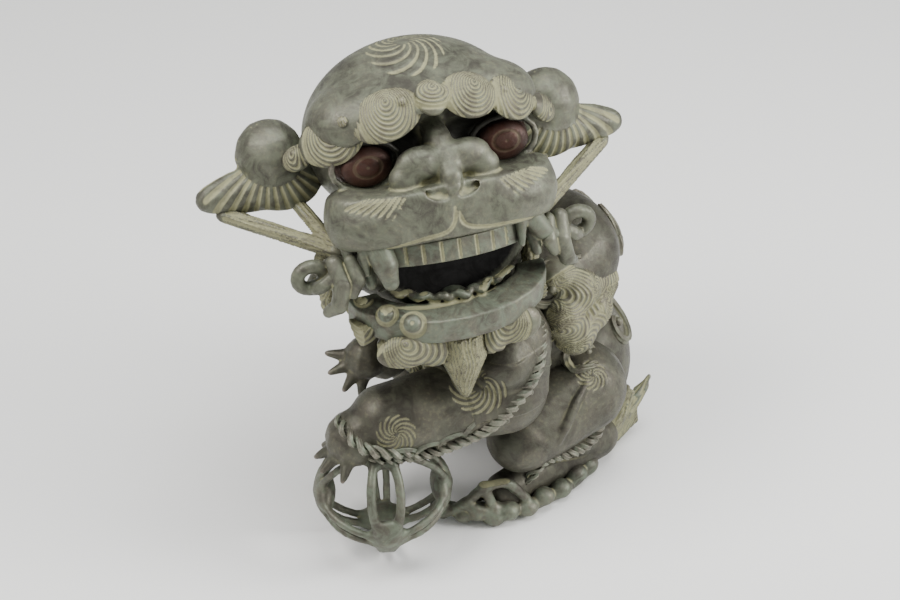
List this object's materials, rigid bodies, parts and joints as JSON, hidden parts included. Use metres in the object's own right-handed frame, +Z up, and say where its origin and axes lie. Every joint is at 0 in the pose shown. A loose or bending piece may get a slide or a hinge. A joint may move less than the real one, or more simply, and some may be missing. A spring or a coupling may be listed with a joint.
{
  "type": "foo dog statue",
  "caption": "Seated cast bronze lion-dog with one paw on an openwork ball; its hollow head is a hinged lid, open at the mouth.",
  "frame": {"origin": "centre of the bounding box on the surface that the lion sits on", "axes": "+Z up, the chest faces -Y, +X is the lion's left, the side that the head is turned to"},
  "size_m": [0.1476, 0.2544, 0.2838],
  "materials": {
    "cast_bronze": "dark purple-grey cast bronze with pale dusty verdigris in the engraved lines",
    "hair_bronze": "dark bronze hair with pale olive dust between the strands",
    "green_bronze": "grey-green patinated bronze, rubbed darker on the edges",
    "copper_eyes": "red-brown polished copper",
    "iron_fittings": "dark forged iron"
  },
  "bodies": {
    "body": {"hinge_leaf_fixed": "iron_fittings", "hinge_pin": "iron_fittings", "body_shell": "cast_bronze", "base_plate": "cast_bronze", "brocade_ball": "green_bronze", "left_foreleg": "cast_bronze", "right_foreleg": "cast_bronze", "left_hind_leg": "cast_bronze", "left_hock_tuft": "hair_bronze", "right_hind_leg": "cast_bronze", "right_hock_tuft": "hair_bronze", "tail": "hair_bronze", "left_mane": "hair_bronze", "right_mane": "hair_bronze", "chest_mane": "hair_bronze", "foreleg_fringe": "hair_bronze", "ball_ribbon": "green_bronze"},
    "head": {"head_shell": "cast_bronze", "left_eye": "copper_eyes", "right_eye": "copper_eyes", "brow_fringe": "hair_bronze", "lower_jaw": "green_bronze", "upper_teeth": "cast_bronze", "left_fangs": "cast_bronze", "right_fangs": "cast_bronze", "tongue": "cast_bronze", "goatee": "green_bronze", "beard_curls": "green_bronze", "left_ear": "cast_bronze", "left_ear_lock": "hair_bronze", "left_mouth_curl": "hair_bronze", "left_side_lock": "hair_bronze", "right_ear": "cast_bronze", "right_ear_lock": "hair_bronze", "right_mouth_curl": "hair_bronze", "right_side_lock": "hair_bronze", "hinge_leaf_moving": "iron_fittings"}
  },
  "joints": [
    {"name": "head_lid", "type": "hinge", "parent": "body", "child": "head", "pos_m": [-0.05199, 0.00277, 0.15], "axis": [-0.3518, -0.9361, 0], "range_deg": [0, 60]}
  ]
}
